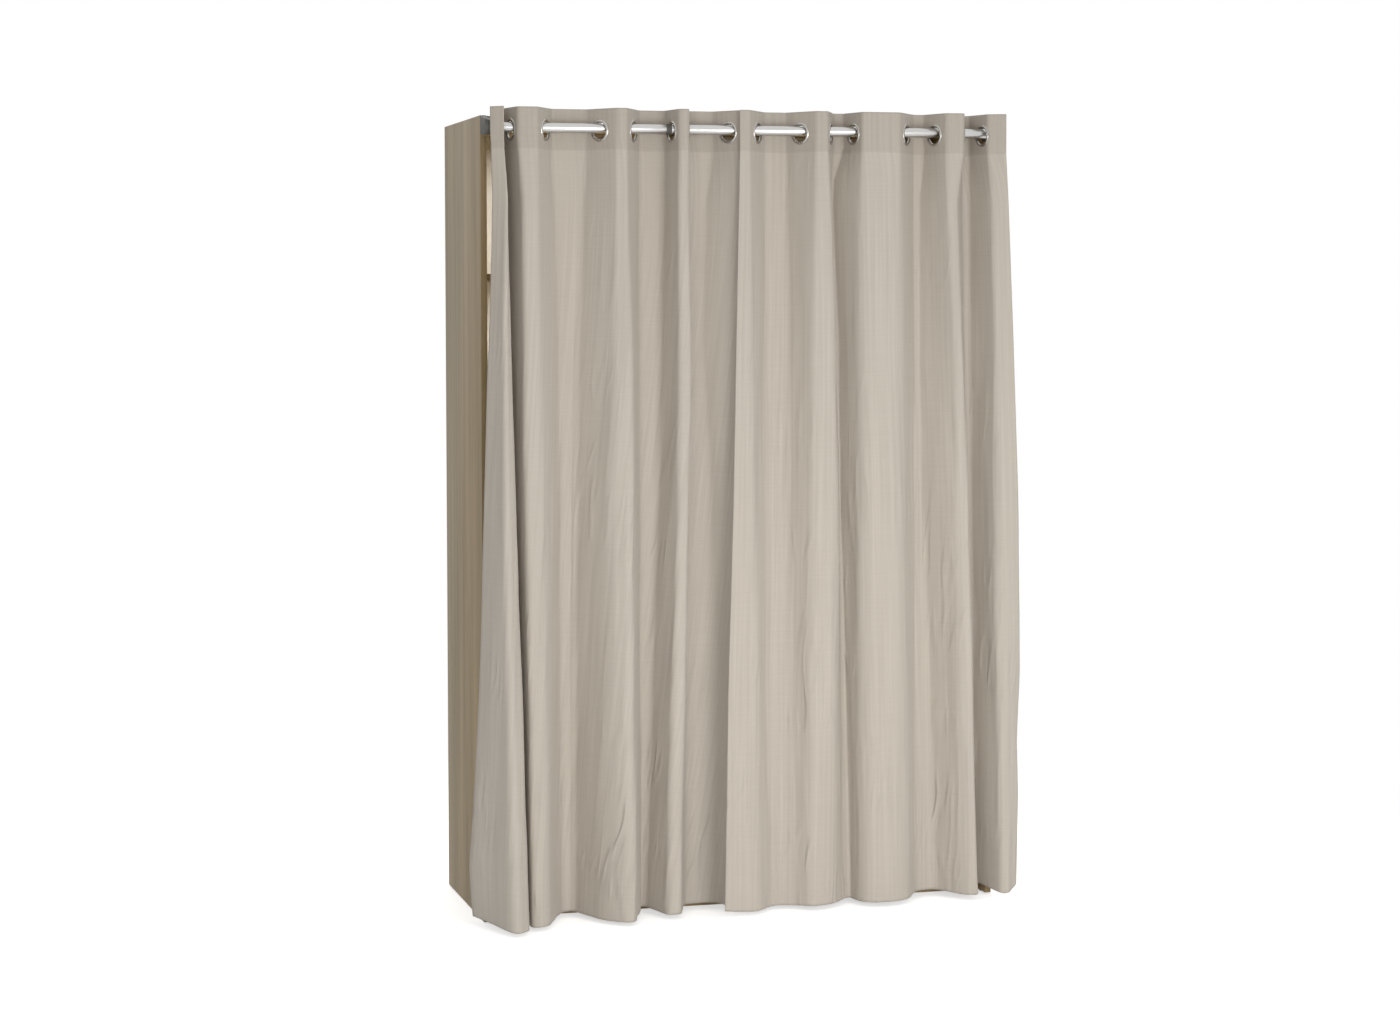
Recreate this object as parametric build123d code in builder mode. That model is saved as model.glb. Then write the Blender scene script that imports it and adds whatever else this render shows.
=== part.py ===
# Curtain-front wardrobe: a board carcass with shelves and a hanging space, closed by
# two eyelet curtains that slide on a rod in front of it. Millimetres, +Z up, the floor
# at Z = 0, X across the front, the front plane of the sides at Y = -depth / 2.
import os
from math import cos, radians, sin, tan

from build123d import *

# Carcass
height = 2030.0
width = 1360.0
depth = 500.0
board = 16.0
back_board = 3.0
front_setback = 30.0
plinth_height = 60.0
plinth_setback = 50.0
glide_height = 3.0
glide_radius = 7.0
glide_inset = 45.0
back_margin = 2.0
divider_share = 470.0 / 1360.0

# Shelves and their pins
shelf_gap = 0.5
shelf_seat_gap = 0.2
upper_shelf_height = 1620.0
shelf_heights = {"shelf_1": 1240.0, "shelf_2": 860.0, "shelf_3": 470.0}
pin_radius = 2.5
pin_length = 15.0
pin_hole_depth = 7.4
pin_gap = 0.1
pin_inset = 40.0

# Hanging rail in the wide compartment
rail_radius = 12.5
rail_wall = 1.2
rail_drop = 60.0
socket_flange_radius = 20.0
socket_flange = 3.0
socket_wall = 3.0
socket_length = 15.0
rail_gap = 0.3

# Cam fittings, dowels and screws
cam_radius = 7.5
cam_height = 12.0
cam_backset = 34.0
cam_gap = 0.2
cam_inset = 60.0
bolt_radius = 3.0
bolt_bite = 11.0
dowel_radius = 4.0
dowel_length = 30.0
dowel_bite = 10.0
dowel_inset = 90.0
screw_radius = 1.75
screw_head_radius = 3.6
screw_length = 14.0
screw_head_depth = 1.85
screw_gap = 0.1
few_sides = 8
round_sides = 16

# Wall brackets
wall_bracket_width = 20.0
wall_bracket_sheet = 2.0
wall_bracket_reach = 30.0
wall_bracket_rise = 40.0
wall_bracket_spacing = 900.0
wall_hole_radius = 2.5
wall_hole_height = 24.0

# Curtain rod, its coupling and its two brackets
rod_radius = 12.5
rod_wall = 1.5
rod_reach = 55.0
rod_drop = 32.0
coupling_width = 14.0
coupling_share = 470.0 / 1360.0
spigot_length = 40.0
spigot_gap = 0.15
socket_depth = 12.0
rod_end_gap = 0.5
rod_seat_gap = 0.3
bracket_nose_radius = 19.5
bracket_height = 44.0
bracket_top_gap = 2.0
tongue = 3.0
tongue_overlap = 12.0
tongue_end_gap = 2.0
bracket_edge = 1.5

# Curtains
cloth = 2.0
curtain_rise = 49.0
header_drop = 54.0
hem_height = 10.0
fold_radius = 12.0
least_flat = 14.0
fold_depth = 45.0
hem_depth = 100.0
round_share = 0.46

# Eyelets, each a front ring with a neck through the cloth and a back ring snapped on it
eyelet_bore_radius = 21.0
eyelet_radius = 28.0
eyelet_neck_radius = 22.9
eyelet_bevel = 1.4
eyelet_front = 2.2
eyelet_back = 1.7
eyelet_gap = 0.3
eyelet_sag = 5.9

# Where the eyelets are along the front, as shares of its width, and how far each is
# turned from the line of the rod, in degrees
left_eyelet_shares = [0.0206, 0.0493, 0.1132, 0.2155, 0.2787, 0.3522, 0.3830, 0.4611]
left_eyelet_turns = [84, 78, 55, 52, 58, 78, 79, 52]
right_eyelet_shares = [0.5177, 0.6008, 0.6603, 0.7059, 0.8111, 0.8677, 0.9250, 0.9639]
right_eyelet_turns = [52, 55, 64, 73, 52, 68, 74, 74]

# Depth of the fold after each eyelet, as shares of the fold depth, behind and in front
# of the rod by turns, and the free edges as shares of the width and of the fold depth
left_fold_shares = [1.27, 0.96, 0.76, 0.98, 0.93, 1.00, 0.89]
left_edge_shares = [(0.0044, 0.82), (0.4985, 0.42)]
left_edge_fold_shares = [0.78, 0.60]
right_fold_shares = [0.84, 0.96, 1.00, 0.89, 0.93, 0.96, 1.27]
right_edge_shares = [(0.4742, 0.96), (1.0015, 0.60)]
right_edge_fold_shares = [0.96, 0.80]

# Corners of the folds at the hem: shares of the width, and of the hem depth in front of
# the front plane
left_hem_shares = [
    (-0.0381, 1.12), (0.0422, 1.90), (0.0679, 0.60), (0.0793, 0.60), (0.0834, 1.28),
    (0.0999, 1.22), (0.1441, -0.16), (0.1925, -0.14), (0.2368, 1.34), (0.2635, 1.32),
    (0.2975, -0.08), (0.3150, -0.08), (0.3397, 0.84), (0.3634, 0.84), (0.3819, -0.18),
    (0.4416, -0.18), (0.4704, 0.44), (0.5003, 0.40),
]
right_hem_shares = [
    (0.4519, 0.92), (0.5075, 1.00), (0.5394, 0.36), (0.5806, 0.36), (0.6166, 0.84),
    (0.6496, 0.80), (0.6907, 0.06), (0.7113, 0.06), (0.7319, 0.84), (0.8060, 0.80),
    (0.8534, -0.18), (0.9018, -0.18), (0.9275, 0.84), (0.9481, 0.84), (0.9604, -0.16),
    (0.9718, -0.16), (0.9872, 1.04), (1.0201, 0.66),
]

# Places that follow from the sizes above
front = -depth / 2
rear = depth / 2
board_rear = rear - back_board
inner_front = front + front_setback
side_x = width / 2
inner_x = side_x - board
base_top = plinth_height + board
divider_x = divider_share * width - side_x
rod_y = front - rod_reach
rod_z = height - rod_drop
eyelet_z = rod_z - eyelet_sag
pin_rows = (inner_front + pin_inset, board_rear - pin_inset)
cam_rows = (inner_front + cam_inset, board_rear - cam_inset)
dowel_rows = (inner_front + dowel_inset, board_rear - dowel_inset)
rail_y = (inner_front + board_rear) / 2
rail_z = upper_shelf_height - rail_drop
left_bay = (-inner_x, divider_x - board / 2)
right_bay = (divider_x + board / 2, inner_x)
tongue_rear = inner_front - tongue_end_gap
bracket_top = height - bracket_top_gap
bracket_middle = bracket_top - bracket_height / 2
tongue_screw_y = (front + tongue_rear) / 2
tongue_screw_spread = bracket_height / 4
tongue_screw_heights = [bracket_middle - tongue_screw_spread, bracket_middle + tongue_screw_spread]
wall_bracket_xs = (-wall_bracket_spacing / 2, wall_bracket_spacing / 2)
wall_screw_y = rear - wall_bracket_reach + wall_bracket_width / 2
wall_bracket_middle = wall_bracket_width / 2
shelf_levels = [upper_shelf_height] + list(shelf_heights.values())

os.makedirs("parts", exist_ok=True)


def save(name, part):
    """Label a finished piece and write its file."""
    part.label = name
    export_step(part, f"parts/{name}.step")


def facing(point, direction):
    """A plane at the point, square to the direction."""
    return Plane(origin=point, z_dir=direction)


def peg(plane, radius, length):
    """A small round piece that stands up from the plane, with few sides because it repeats."""
    with BuildSketch(plane) as outline:
        RegularPolygon(radius, few_sides)
    extrude(outline.sketch, amount=length)


def drill(plane, radius, depth):
    """A hole down from the plane for a small round piece, clear of its corners."""
    with BuildSketch(plane) as outline:
        RegularPolygon(radius, few_sides, major_radius=False)
    extrude(outline.sketch, amount=-depth, mode=Mode.SUBTRACT)


def screw_seat(plane, depth):
    """A screw hole down from the plane, with a sunk seat for the screw's head."""
    drill(plane, screw_radius + screw_gap, depth)
    drill(plane, screw_head_radius + screw_gap, screw_head_depth)


def block(low, high):
    """A plain board between two corners, in the builder that is open."""
    size = [high[i] - low[i] for i in range(len(low))]
    with BuildSketch(Plane.XY.offset(low[2])) as outline:
        with Locations(((low[0] + high[0]) / 2, (low[1] + high[1]) / 2)):
            Rectangle(size[0], size[1])
    extrude(outline.sketch, amount=size[2])


def pin_places(x, levels):
    """Where the shelf pins go in on the plane X = x, under shelves at these heights."""
    return [(x, y, level - shelf_seat_gap - pin_radius) for y in pin_rows for level in levels]


def drill_pins(x, inward, levels):
    """Blind holes for the shelf pins, drilled in from the face that looks inward."""
    for place in pin_places(x, levels):
        drill(facing(place, (inward, 0, 0)), pin_radius + pin_gap, pin_hole_depth)


# Side panels, drilled for the cam bolts, shelf pins, rod brackets and, on the right, the
# hanging rail
def side_panel(side, levels):
    inner = side * inner_x
    with BuildPart() as panel:
        block((min(inner, side * side_x), front, glide_height), (max(inner, side * side_x), board_rear, height))
        drill_pins(inner, -side, levels)
        for y in cam_rows:
            for z in (height - board / 2, plinth_height + board / 2):
                drill(facing((inner, y, z), (-side, 0, 0)), bolt_radius + cam_gap, bolt_bite + cam_gap)
        for z in tongue_screw_heights:
            screw_hole = facing((inner, tongue_screw_y, z), (-side, 0, 0))
            drill(screw_hole, screw_radius + screw_gap, screw_length - tongue + screw_gap)
        if side > 0:
            screw_hole = facing((inner, rail_y, rail_z), (-side, 0, 0))
            drill(screw_hole, screw_radius + screw_gap, screw_length - socket_flange + screw_gap)
    return panel.part


save("side_panel_left", side_panel(-1, shelf_levels))
save("side_panel_right", side_panel(1, [upper_shelf_height]))


# Top and base panels between the sides, with cam pockets underneath, bolt holes in
# their ends and dowel holes for the divider
def level_panel(low, high, divider_face, divider_side):
    with BuildPart() as panel:
        block((-inner_x, inner_front, low), (inner_x, board_rear, high))
        for side in (-1, 1):
            for y in cam_rows:
                cam_pocket = facing((side * (inner_x - cam_backset), y, low), (0, 0, -1))
                drill(cam_pocket, cam_radius + cam_gap, cam_height + cam_gap)
                bolt_hole = facing((side * inner_x, y, low + board / 2), (side, 0, 0))
                drill(bolt_hole, bolt_radius + cam_gap, cam_backset)
        for y in dowel_rows:
            dowel_hole = facing((divider_x, y, divider_face), (0, 0, divider_side))
            drill(dowel_hole, dowel_radius + cam_gap, dowel_bite + cam_gap)
        if divider_side < 0:
            for x in wall_bracket_xs:
                screw_hole = facing((x, wall_screw_y, high), (0, 0, 1))
                drill(screw_hole, screw_radius + screw_gap, screw_length - wall_bracket_sheet + screw_gap)
    return panel.part


save("top_panel", level_panel(height - board, height, height - board, -1))
save("base_panel", level_panel(plinth_height, base_top, base_top, 1))

# Divider between the shelves and the hanging space
divider_dowel = dowel_length - dowel_bite
with BuildPart() as divider:
    block((divider_x - board / 2, inner_front, base_top), (divider_x + board / 2, board_rear, height - board))
    drill_pins(left_bay[1], -1, shelf_levels)
    drill_pins(right_bay[0], 1, [upper_shelf_height])
    for y in dowel_rows:
        drill(facing((divider_x, y, base_top), (0, 0, -1)), dowel_radius + cam_gap, divider_dowel + cam_gap)
        drill(facing((divider_x, y, height - board), (0, 0, 1)), dowel_radius + cam_gap, divider_dowel + cam_gap)
    screw_hole = facing((right_bay[0], rail_y, rail_z), (1, 0, 0))
    drill(screw_hole, screw_radius + screw_gap, screw_length - socket_flange + screw_gap)
save("divider", divider.part)

# Plinths and the support under the middle of the base
plinth_front_y = front + plinth_setback
with BuildPart() as plinth_front:
    block((-inner_x, plinth_front_y, glide_height), (inner_x, plinth_front_y + board, plinth_height))
save("plinth_front", plinth_front.part)

with BuildPart() as plinth_rear:
    block((-inner_x, board_rear - board, glide_height), (inner_x, board_rear, plinth_height))
save("plinth_rear", plinth_rear.part)

with BuildPart() as base_support:
    block((-board / 2, plinth_front_y + board, glide_height), (board / 2, board_rear - board, plinth_height))
save("base_support", base_support.part)

# Glides under the sides and, at the origin, under the support
glide_rows = (front + glide_inset, board_rear - glide_inset)
glide_places = [(0, 0)] + [(side * (side_x - board / 2), y) for side in (-1, 1) for y in glide_rows]
with BuildPart() as foot_glides:
    for x, y in glide_places:
        peg(facing((x, y, 0), (0, 0, 1)), glide_radius, glide_height)
save("foot_glides", foot_glides.part)

# Back boards nailed on behind, meeting on the divider's rear edge
with BuildPart() as back_left:
    block((back_margin - side_x, board_rear, glide_height), (divider_x - shelf_gap, rear, height - back_margin))
save("back_left", back_left.part)

with BuildPart() as back_right:
    block((divider_x + shelf_gap, board_rear, glide_height), (side_x - back_margin, rear, height - back_margin))
save("back_right", back_right.part)


# Shelves, each on four pins
def shelf(bay, level):
    with BuildPart() as piece:
        low = (bay[0] + shelf_gap, inner_front, level)
        block(low, (bay[1] - shelf_gap, board_rear - shelf_gap, level + board))
    return piece.part


save("upper_shelf", shelf(left_bay, upper_shelf_height))
save("hat_shelf", shelf(right_bay, upper_shelf_height))
for name, level in shelf_heights.items():
    save(name, shelf(left_bay, level))

with BuildPart() as shelf_pins:
    pin_faces = [(left_bay[0], 1, shelf_levels), (left_bay[1], -1, shelf_levels)]
    pin_faces += [(right_bay[0], 1, [upper_shelf_height]), (right_bay[1], -1, [upper_shelf_height])]
    for x, inward, levels in pin_faces:
        for place in pin_places(x, levels):
            peg(facing(place, (inward, 0, 0)).offset(pin_gap - pin_hole_depth), pin_radius, pin_length)
save("shelf_pins", shelf_pins.part)

# Hanging rail and the two flanged sockets that hold its ends
socket_faces = [(right_bay[0], 1), (right_bay[1], -1)]
with BuildPart() as hanging_rail:
    with BuildSketch(facing((right_bay[0] + socket_flange + rail_gap, rail_y, rail_z), (1, 0, 0))):
        Circle(rail_radius)
        Circle(rail_radius - rail_wall, mode=Mode.SUBTRACT)
    extrude(amount=right_bay[1] - right_bay[0] - 2 * (socket_flange + rail_gap))
save("hanging_rail", hanging_rail.part)

with BuildPart() as rail_sockets:
    for x, inward in socket_faces:
        base = facing((x, rail_y, rail_z), (inward, 0, 0))
        with BuildSketch(base):
            RegularPolygon(socket_flange_radius, round_sides)
        extrude(amount=socket_flange)
        with BuildSketch(base.offset(socket_flange)):
            RegularPolygon(rail_radius + rail_gap + socket_wall, round_sides)
            RegularPolygon(rail_radius + rail_gap, round_sides, major_radius=False, mode=Mode.SUBTRACT)
        extrude(amount=socket_length - socket_flange)
        screw_seat(base.offset(socket_flange), socket_flange)
save("rail_sockets", rail_sockets.part)

# Cams, their bolts and the dowels
with BuildPart() as cams:
    for low in (height - board, plinth_height):
        for side in (-1, 1):
            for y in cam_rows:
                peg(facing((side * (inner_x - cam_backset), y, low), (0, 0, 1)), cam_radius, cam_height)
save("cams", cams.part)

bolt_inside = cam_backset - cam_radius - cam_gap
with BuildPart() as cam_bolts:
    for z in (height - board / 2, plinth_height + board / 2):
        for side in (-1, 1):
            for y in cam_rows:
                bolt_start = facing((side * (inner_x - bolt_inside), y, z), (side, 0, 0))
                peg(bolt_start, bolt_radius, bolt_inside + bolt_bite)
save("cam_bolts", cam_bolts.part)

with BuildPart() as dowels:
    for start in (base_top - dowel_bite, height - board - divider_dowel):
        for y in dowel_rows:
            peg(facing((divider_x, y, start), (0, 0, 1)), dowel_radius, dowel_length)
save("dowels", dowels.part)

# Wall brackets, bent from sheet, standing on the top panel against the wall
with BuildPart() as wall_brackets:
    for x in wall_bracket_xs:
        with BuildSketch(Plane.YZ.offset(x - wall_bracket_middle)):
            with BuildLine():
                Polyline(
                    (rear - wall_bracket_reach, height),
                    (rear, height),
                    (rear, height + wall_bracket_rise),
                    (rear - wall_bracket_sheet, height + wall_bracket_rise),
                    (rear - wall_bracket_sheet, height + wall_bracket_sheet),
                    (rear - wall_bracket_reach, height + wall_bracket_sheet),
                    close=True,
                )
            make_face()
        extrude(amount=wall_bracket_width)
        with Locations(facing((x, rear - wall_bracket_sheet, height + wall_hole_height), (0, -1, 0))):
            Hole(wall_hole_radius, depth=wall_bracket_sheet)
        screw_seat(facing((x, wall_screw_y, height + wall_bracket_sheet), (0, 0, 1)), wall_bracket_sheet)
save("wall_brackets", wall_brackets.part)


# Rod brackets: an arm in front of each side's edge with a blind seat for the rod, and a
# tongue that lies on the side's inner face with two screws through it
def rod_bracket():
    nose = (rod_y, rod_z)
    with BuildPart() as bracket:
        with BuildSketch(Plane.YZ.offset(-side_x)):
            with Locations(nose):
                Circle(bracket_nose_radius)
            with Locations((front - bracket_edge, bracket_middle)):
                Rectangle(2 * bracket_edge, bracket_height)
            make_hull()
        extrude(amount=board)
        with BuildSketch(Plane.YZ.offset(-inner_x)):
            with Locations(((front - tongue_overlap + tongue_rear) / 2, bracket_middle)):
                Rectangle(tongue_rear - front + tongue_overlap, bracket_height)
        extrude(amount=tongue)
        with BuildSketch(facing((-inner_x, *nose), (1, 0, 0))) as seat:
            RegularPolygon(rod_radius + rod_seat_gap, round_sides, major_radius=False)
        extrude(seat.sketch, amount=-socket_depth, mode=Mode.SUBTRACT)
        for z in tongue_screw_heights:
            screw_seat(facing((tongue - inner_x, tongue_screw_y, z), (1, 0, 0)), tongue)
    return bracket.part


save("rod_bracket_left", rod_bracket())
save("rod_bracket_right", mirror(rod_bracket(), about=Plane.YZ))

# The rod is two lengths of tube that meet at a coupling, whose spigots reach into both
rod_end = inner_x + socket_depth - rod_end_gap
coupling_x = coupling_share * width - side_x
coupling_half = coupling_width / 2
for name, start, stop in (
    ("rod_tube_left", -rod_end, coupling_x - coupling_half),
    ("rod_tube_right", coupling_x + coupling_half, rod_end),
):
    with BuildPart() as tube:
        with BuildSketch(facing((start, rod_y, rod_z), (1, 0, 0))):
            Circle(rod_radius)
            Circle(rod_radius - rod_wall, mode=Mode.SUBTRACT)
        extrude(amount=stop - start)
    save(name, tube.part)

with BuildPart() as rod_coupling:
    middle = facing((coupling_x, rod_y, rod_z), (1, 0, 0))
    with BuildSketch(middle):
        Circle(rod_radius)
    extrude(amount=coupling_half, both=True)
    with BuildSketch(middle):
        RegularPolygon(rod_radius - rod_wall - spigot_gap, round_sides)
    extrude(amount=coupling_half + spigot_length, both=True)
save("rod_coupling", rod_coupling.part)

# Sunk screws of the rod brackets, rail sockets and wall brackets
screw_places = [
    ((side * (inner_x - tongue), tongue_screw_y, z), (-side, 0, 0)) for side in (-1, 1) for z in tongue_screw_heights
]
screw_places += [((x + inward * socket_flange, rail_y, rail_z), (inward, 0, 0)) for x, inward in socket_faces]
screw_places += [((x, wall_screw_y, height + wall_bracket_sheet), (0, 0, 1)) for x in wall_bracket_xs]
with BuildPart() as fixing_screws:
    for place, outward in screw_places:
        seat = facing(place, outward)
        peg(seat.offset(-screw_length), screw_radius, screw_length - screw_head_depth)
        peg(seat.offset(-screw_head_depth), screw_head_radius, screw_head_depth)
save("fixing_screws", fixing_screws.part)


# A point of the curtains' plan: along the front from the left side, and in front of the
# front plane
def plan_point(along, ahead):
    return Vector(along - side_x, front - ahead)


def fold_corners(shares, turns, fold_shares, edges, edge_fold_shares):
    """Corners of a header: the cloth runs straight through each eyelet and folds between them."""
    places = [share * width for share in shares]
    leans = [1 / tan(radians(turn)) for turn in turns]
    corners = [plan_point(edges[0][0] * width, rod_reach + edges[0][1] * fold_depth)]
    ahead = 1
    rise = edge_fold_shares[0] * fold_depth
    corners.append(plan_point(places[0] - rise * leans[0], rod_reach + rise))
    for i in range(len(fold_shares)):
        ahead = -ahead
        room = places[i + 1] - places[i] - least_flat
        rise = min(fold_shares[i] * fold_depth, room / (leans[i] + leans[i + 1]))
        corners.append(plan_point(places[i] + rise * leans[i], rod_reach + ahead * rise))
        corners.append(plan_point(places[i + 1] - rise * leans[i + 1], rod_reach + ahead * rise))
    rise = edge_fold_shares[1] * fold_depth
    corners.append(plan_point(places[-1] + rise * leans[-1], rod_reach + rise))
    corners.append(plan_point(edges[1][0] * width, rod_reach + edges[1][1] * fold_depth))
    return corners


def hem_corners(shares):
    return [plan_point(along * width, ahead * hem_depth) for along, ahead in shares]


def cloth_outline(corners):
    """The two sides of the folded cloth in plan, as straight runs and tangent arcs."""
    runs = [(b - a) for a, b in zip(corners, corners[1:])]
    ways = [run.normalized() for run in runs]
    radii = []
    for i in range(1, len(corners) - 1):
        bend = radians(ways[i - 1].get_angle(ways[i]))
        room = round_share * min(runs[i - 1].length, runs[i].length) / tan(bend / 2)
        radii.append(min(fold_radius, room))
    for side in (cloth / 2, -cloth / 2):
        normals = [Vector(-way.Y, way.X) for way in ways]
        points = [corners[0] + normals[0] * side]
        arcs = []
        for i in range(1, len(corners) - 1):
            spread = (normals[i - 1] + normals[i]) * (side / (1 + normals[i - 1].dot(normals[i])))
            points.append(corners[i] + spread)
            left_turn = ways[i - 1].cross(ways[i]).Z > 0
            arcs.append(radii[i - 1] - side if left_turn else radii[i - 1] + side)
        points.append(corners[-1] + normals[-1] * side)
        yield points, arcs


def curtain_section(plane, corners):
    with BuildSketch(plane) as section:
        with BuildLine():
            (near, near_arcs), (far, far_arcs) = cloth_outline(corners)
            FilletPolyline(*near, radius=near_arcs)
            Line(near[-1], far[-1])
            FilletPolyline(*far, radius=far_arcs)
            Line(far[0], near[0])
        make_face()
    return section.sketch


def eyelet_planes(shares, turns):
    """The middle plane of each eyelet: its X lies along the cloth and its Z is square to it."""
    planes = []
    back = 1
    for share, turn in zip(shares, turns):
        along = (cos(radians(turn)), back * sin(radians(turn)), 0)
        square = (back * sin(radians(turn)), -cos(radians(turn)), 0)
        planes.append(Plane(origin=(share * width - side_x, rod_y, eyelet_z), x_dir=along, z_dir=square))
        back = -back
    return planes


# Each curtain is a straight header over folds that open towards the hem, with a hole for
# every eyelet
curtain_top = rod_z + curtain_rise
header_bottom = rod_z - header_drop


def curtain(header, hem, planes):
    sections = [
        curtain_section(Plane.XY.offset(curtain_top), header),
        curtain_section(Plane.XY.offset(header_bottom), header),
        curtain_section(Plane.XY.offset(hem_height), hem),
    ]
    with BuildPart() as piece:
        loft(sections=sections, ruled=True)
        for plane in planes:
            with BuildSketch(plane.offset(cloth)) as hole:
                RegularPolygon(eyelet_neck_radius + eyelet_gap, round_sides)
            extrude(hole.sketch, amount=-2 * cloth, mode=Mode.SUBTRACT)
    return piece.part


left_planes = eyelet_planes(left_eyelet_shares, left_eyelet_turns)
left_header = fold_corners(
    left_eyelet_shares, left_eyelet_turns, left_fold_shares, left_edge_shares, left_edge_fold_shares
)
save("curtain_left", curtain(left_header, hem_corners(left_hem_shares), left_planes))

right_planes = eyelet_planes(right_eyelet_shares, right_eyelet_turns)
right_header = fold_corners(
    right_eyelet_shares, right_eyelet_turns, right_fold_shares, right_edge_shares, right_edge_fold_shares
)
save("curtain_right", curtain(right_header, hem_corners(right_hem_shares), right_planes))


# Eyelets: a bevelled ring in front of the cloth, a neck through it and a flat ring behind
def eyelet(plane):
    way = Axis(plane.origin, plane.z_dir)
    face = cloth / 2 + eyelet_gap
    with BuildPart() as piece:
        with BuildSketch(plane.offset(face)):
            RegularPolygon(eyelet_radius, round_sides)
        extrude(amount=eyelet_front)
        chamfer(piece.faces().sort_by(way)[-1].edges(), eyelet_bevel)
        with BuildSketch(plane.offset(-face)):
            RegularPolygon(eyelet_radius, round_sides)
        extrude(amount=-eyelet_back)
        with BuildSketch(plane.offset(-face)):
            RegularPolygon(eyelet_neck_radius, round_sides)
        extrude(amount=2 * face)
        with BuildSketch(plane.offset(-face - eyelet_back)):
            RegularPolygon(eyelet_bore_radius, round_sides, major_radius=False)
        extrude(amount=2 * face + eyelet_back + eyelet_front, mode=Mode.SUBTRACT)
    return piece.part


for hand, planes in (("left", left_planes), ("right", right_planes)):
    for number, plane in enumerate(planes, start=1):
        save(f"eyelet_{hand}_{number}", eyelet(plane))
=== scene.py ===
# Curtain-front wardrobe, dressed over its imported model. Metres, +Z up, the front towards -Y.
import bmesh
import bpy
import math
from mathutils import Matrix, Vector, noise


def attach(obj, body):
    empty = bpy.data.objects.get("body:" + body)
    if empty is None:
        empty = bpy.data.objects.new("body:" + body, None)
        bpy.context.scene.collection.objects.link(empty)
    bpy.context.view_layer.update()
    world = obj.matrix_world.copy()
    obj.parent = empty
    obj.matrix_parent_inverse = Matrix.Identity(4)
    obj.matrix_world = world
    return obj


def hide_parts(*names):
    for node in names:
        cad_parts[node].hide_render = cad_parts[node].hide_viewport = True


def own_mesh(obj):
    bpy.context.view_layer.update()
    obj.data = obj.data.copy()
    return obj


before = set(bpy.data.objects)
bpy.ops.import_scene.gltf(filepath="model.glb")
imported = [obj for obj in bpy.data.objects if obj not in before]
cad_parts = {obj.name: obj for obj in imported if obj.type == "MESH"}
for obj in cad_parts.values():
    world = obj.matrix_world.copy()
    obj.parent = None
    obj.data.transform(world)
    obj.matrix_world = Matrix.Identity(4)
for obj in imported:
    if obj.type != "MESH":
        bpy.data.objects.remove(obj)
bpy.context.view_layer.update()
mm = 0.001

# sizes in mm that the dressing shares with the solids
carcass = {
    "width": 1360.0, "height": 2030.0, "depth": 500.0, "board": 16.0, "plinth": 60.0, "dividerX": -210.0,
    "rodReach": 55.0, "rodZ": 1998.0, "eyeletZ": 1992.1,
}
frontY = -carcass["depth"] / 2
sideX = carcass["width"] / 2
innerX = sideX - carcass["board"]
halfBoard = carcass["board"] / 2
sideMiddleX = sideX - halfBoard
dividerLeft = carcass["dividerX"] - halfBoard
dividerRight = carcass["dividerX"] + halfBoard
mergeGap = 0.01 * mm
smoothAngle = math.radians(32)


# a point of the curtains' plan: along the front from the left side, and ahead of the front plane
def planPoint(along, ahead):
    return Vector((along - sideX, frontY - ahead))


def looseSelection():
    if bpy.context.object and bpy.context.object.mode != "OBJECT":
        bpy.ops.object.mode_set(mode="OBJECT")
    bpy.ops.object.select_all(action="DESELECT")


def only(piece):
    looseSelection()
    piece.select_set(True)
    bpy.context.view_layer.objects.active = piece
    return piece


def place(name, mesh):
    piece = bpy.data.objects.new(name, mesh)
    bpy.context.scene.collection.objects.link(piece)
    return only(piece)


def applyModifier(piece, kind, **settings):
    only(piece)
    modifier = piece.modifiers.new(kind.title(), kind)
    for name, value in settings.items():
        setattr(modifier, name, value)
    bpy.ops.object.modifier_apply(modifier=modifier.name)


def tidyShell():
    bpy.ops.object.mode_set(mode="EDIT")
    bpy.ops.mesh.select_all(action="SELECT")
    bpy.ops.mesh.remove_doubles(threshold=mergeGap)
    bpy.ops.mesh.normals_make_consistent(inside=False)
    bpy.ops.object.mode_set(mode="OBJECT")


# names the piece, gives it its finish and hangs it on its body
def settle(piece, name, body, slot, material, *nodes):
    piece.name = name
    piece.data.name = name
    piece.data.materials.clear()
    piece.data.materials.append(material)
    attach(piece, body)
    if nodes:
        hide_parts(*nodes)
    return piece


# camera just under the upper shelf's height and left of the middle, fitted to the side panel and the rod
view = {
    "place": (-2.05, -7.352, 1.564), "pitch": -2.45, "yaw": -15.25, "roll": -0.12,
    "lens": 74.2, "sensor": 36, "shiftY": -0.06,
}
cameraData = bpy.data.cameras.new("camera")
camera = bpy.data.objects.new("camera", cameraData)
bpy.context.scene.collection.objects.link(camera)
bpy.context.scene.camera = camera
cameraData.lens = view["lens"]
cameraData.sensor_width = view["sensor"]
cameraData.shift_y = view["shiftY"]
camera.location = view["place"]
heading = Matrix.Rotation(math.radians(view["yaw"]), 4, "Z")
tilt = Matrix.Rotation(math.radians(90 + view["pitch"]), 4, "X")
lean = Matrix.Rotation(math.radians(view["roll"]), 4, "Z")
camera.rotation_euler = (heading @ tilt @ lean).to_euler()
print("camera placed")


def linear(code):
    parts = [int(code[i:i + 2], 16) / 255 for i in (1, 3, 5)]
    return tuple(v / 12.92 if v <= 0.04045 else ((v + 0.055) / 1.055) ** 2.4 for v in parts) + (1.0,)


def newMaterial(name, base, roughness, metallic=0.0):
    material = bpy.data.materials.new(name)
    material.use_nodes = True
    shader = material.node_tree.nodes["Principled BSDF"]
    shader.inputs["Base Color"].default_value = linear(base)
    shader.inputs["Roughness"].default_value = roughness
    shader.inputs["Metallic"].default_value = metallic
    return material, shader


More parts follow.
